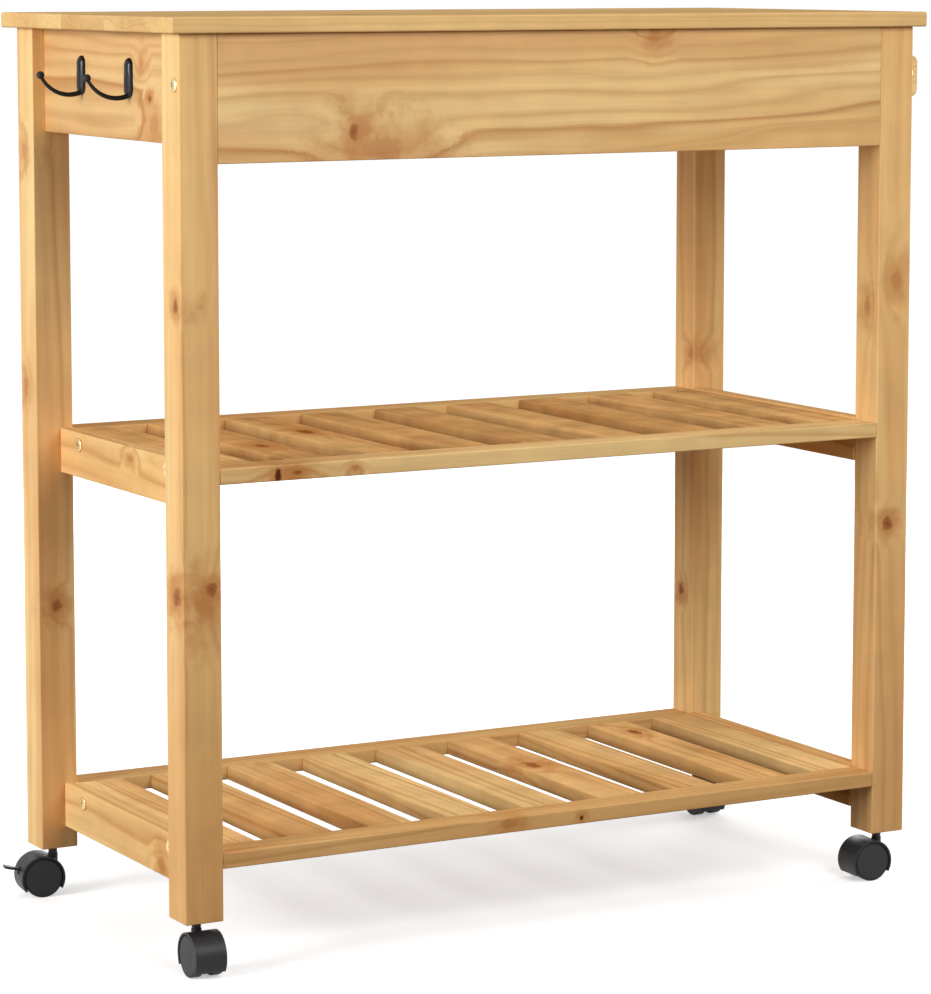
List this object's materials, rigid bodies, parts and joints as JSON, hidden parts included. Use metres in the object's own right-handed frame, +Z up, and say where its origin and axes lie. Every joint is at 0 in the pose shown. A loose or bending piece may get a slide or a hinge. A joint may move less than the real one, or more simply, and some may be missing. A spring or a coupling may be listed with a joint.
{
  "type": "kitchen cart",
  "caption": "Pine kitchen island cart: worktop on square legs, drawers under it, slatted shelves, hooks at one end, a towel rail at the other, and hooded castors.",
  "frame": {"origin": "on the floor under the middle of the cart's overall box", "axes": "+X along the cart to the towel-rail end, +Y across it to the drawer side, +Z up"},
  "size_m": [0.8892, 0.4278, 0.898],
  "materials": {
    "worktop_pine": "clear satin lacquer",
    "pine": "clear satin lacquer",
    "drawer_ply": "bare plywood",
    "black_iron": "gloss black",
    "bolt_brass": "plated",
    "stem_black": "satin black",
    "axle_steel": "plain",
    "wheel_black": "moulded",
    "castor_black": "moulded"
  },
  "bodies": {
    "cart": {"top_board": "worktop_pine", "back_leg_hook_end": "pine", "back_leg_rail_end": "pine", "front_leg_hook_end": "pine", "front_leg_rail_end": "pine", "back_apron": "pine", "end_panel_hook_end": "pine", "drawer_runner_hook_end": "pine", "end_panel_rail_end": "pine", "drawer_runner_rail_end": "pine", "drawer_rail": "pine", "centre_runner": "pine", "drawer_divider": "pine", "lower_shelf_back_rail": "pine", "lower_shelf_front_rail": "pine", "lower_shelf_end_rail_hook_end": "pine", "lower_shelf_end_rail_rail_end": "pine", "lower_shelf_slats": "pine", "middle_shelf_back_rail": "pine", "middle_shelf_front_rail": "pine", "middle_shelf_end_rail_hook_end": "pine", "middle_shelf_end_rail_rail_end": "pine", "middle_shelf_slats": "pine", "cloth_hook_back": "black_iron", "cloth_hook_front": "black_iron", "towel_bar": "pine", "towel_bracket_back": "pine", "towel_bracket_front": "pine", "bolts": "bolt_brass", "castor_stems": "stem_black"},
    "hook_end_drawer": {"hook_end_drawer_front": "pine", "hook_end_drawer_outer_side": "pine", "hook_end_drawer_inner_side": "pine", "hook_end_drawer_back": "pine", "hook_end_drawer_bottom": "drawer_ply", "hook_end_drawer_knob": "pine"},
    "rail_end_drawer": {"rail_end_drawer_front": "pine", "rail_end_drawer_outer_side": "pine", "rail_end_drawer_inner_side": "pine", "rail_end_drawer_back": "pine", "rail_end_drawer_bottom": "drawer_ply", "rail_end_drawer_knob": "pine"},
    "castor_back_hook_end": {"castor_back_hook_end_body": "castor_black", "castor_back_hook_end_axle": "axle_steel"},
    "wheel_a_back_hook_end": {"castor_back_hook_end_wheel_a": "wheel_black"},
    "wheel_b_back_hook_end": {"castor_back_hook_end_wheel_b": "wheel_black"},
    "castor_back_rail_end": {"castor_back_rail_end_body": "castor_black", "castor_back_rail_end_axle": "axle_steel"},
    "wheel_a_back_rail_end": {"castor_back_rail_end_wheel_a": "wheel_black"},
    "wheel_b_back_rail_end": {"castor_back_rail_end_wheel_b": "wheel_black"},
    "castor_front_hook_end": {"castor_front_hook_end_body": "castor_black", "castor_front_hook_end_axle": "axle_steel"},
    "wheel_a_front_hook_end": {"castor_front_hook_end_wheel_a": "wheel_black"},
    "wheel_b_front_hook_end": {"castor_front_hook_end_wheel_b": "wheel_black"},
    "brake_front_hook_end": {"castor_front_hook_end_brake_lever": "castor_black"},
    "castor_front_rail_end": {"castor_front_rail_end_body": "castor_black", "castor_front_rail_end_axle": "axle_steel"},
    "wheel_a_front_rail_end": {"castor_front_rail_end_wheel_a": "wheel_black"},
    "wheel_b_front_rail_end": {"castor_front_rail_end_wheel_b": "wheel_black"},
    "brake_front_rail_end": {"castor_front_rail_end_brake_lever": "castor_black"}
  },
  "joints": [
    {"name": "hook_end_drawer_slide", "type": "slide", "parent": "cart", "child": "hook_end_drawer", "axis": [0, 1, 0], "range_m": [0, 0.25]},
    {"name": "rail_end_drawer_slide", "type": "slide", "parent": "cart", "child": "rail_end_drawer", "axis": [0, 1, 0], "range_m": [0, 0.25]},
    {"name": "swivel_back_hook_end", "type": "hinge", "parent": "cart", "child": "castor_back_hook_end", "pos_m": [-0.39035, -0.17659, 0.0425], "axis": [0, 0, 1], "continuous": true},
    {"name": "spin_a_back_hook_end", "type": "hinge", "parent": "castor_back_hook_end", "child": "wheel_a_back_hook_end", "pos_m": [-0.39084, -0.19058, 0.02], "axis": [-0.9994, 0.0349, 0], "continuous": true},
    {"name": "spin_b_back_hook_end", "type": "hinge", "parent": "castor_back_hook_end", "child": "wheel_b_back_hook_end", "pos_m": [-0.39084, -0.19058, 0.02], "axis": [-0.9994, 0.0349, 0], "continuous": true},
    {"name": "swivel_back_rail_end", "type": "hinge", "parent": "cart", "child": "castor_back_rail_end", "pos_m": [0.38865, -0.17659, 0.0425], "axis": [0, 0, 1], "continuous": true},
    {"name": "spin_a_back_rail_end", "type": "hinge", "parent": "castor_back_rail_end", "child": "wheel_a_back_rail_end", "pos_m": [0.37466, -0.1761, 0.02], "axis": [0.0349, 0.9994, 0], "continuous": true},
    {"name": "spin_b_back_rail_end", "type": "hinge", "parent": "castor_back_rail_end", "child": "wheel_b_back_rail_end", "pos_m": [0.37466, -0.1761, 0.02], "axis": [0.0349, 0.9994, 0], "continuous": true},
    {"name": "swivel_front_hook_end", "type": "hinge", "parent": "cart", "child": "castor_front_hook_end", "pos_m": [-0.39035, 0.17241, 0.0425], "axis": [0, 0, 1], "continuous": true},
    {"name": "spin_a_front_hook_end", "type": "hinge", "parent": "castor_front_hook_end", "child": "wheel_a_front_hook_end", "pos_m": [-0.40425, 0.17412, 0.02], "axis": [0.1219, 0.9925, 0], "continuous": true},
    {"name": "spin_b_front_hook_end", "type": "hinge", "parent": "castor_front_hook_end", "child": "wheel_b_front_hook_end", "pos_m": [-0.40425, 0.17412, 0.02], "axis": [0.1219, 0.9925, 0], "continuous": true},
    {"name": "press_front_hook_end", "type": "hinge", "parent": "castor_front_hook_end", "child": "brake_front_hook_end", "pos_m": [-0.41616, 0.17558, 0.0255], "axis": [-0.1219, -0.9925, 0], "range_deg": [0, 15]},
    {"name": "swivel_front_rail_end", "type": "hinge", "parent": "cart", "child": "castor_front_rail_end", "pos_m": [0.38865, 0.17241, 0.0425], "axis": [0, 0, 1], "continuous": true},
    {"name": "spin_a_front_rail_end", "type": "hinge", "parent": "castor_front_rail_end", "child": "wheel_a_front_rail_end", "pos_m": [0.38865, 0.15841, 0.02], "axis": [-1, 0, 0], "continuous": true},
    {"name": "spin_b_front_rail_end", "type": "hinge", "parent": "castor_front_rail_end", "child": "wheel_b_front_rail_end", "pos_m": [0.38865, 0.15841, 0.02], "axis": [-1, 0, 0], "continuous": true},
    {"name": "press_front_rail_end", "type": "hinge", "parent": "castor_front_rail_end", "child": "brake_front_rail_end", "pos_m": [0.38865, 0.14641, 0.0255], "axis": [1, 0, 0], "range_deg": [0, 15]}
  ]
}
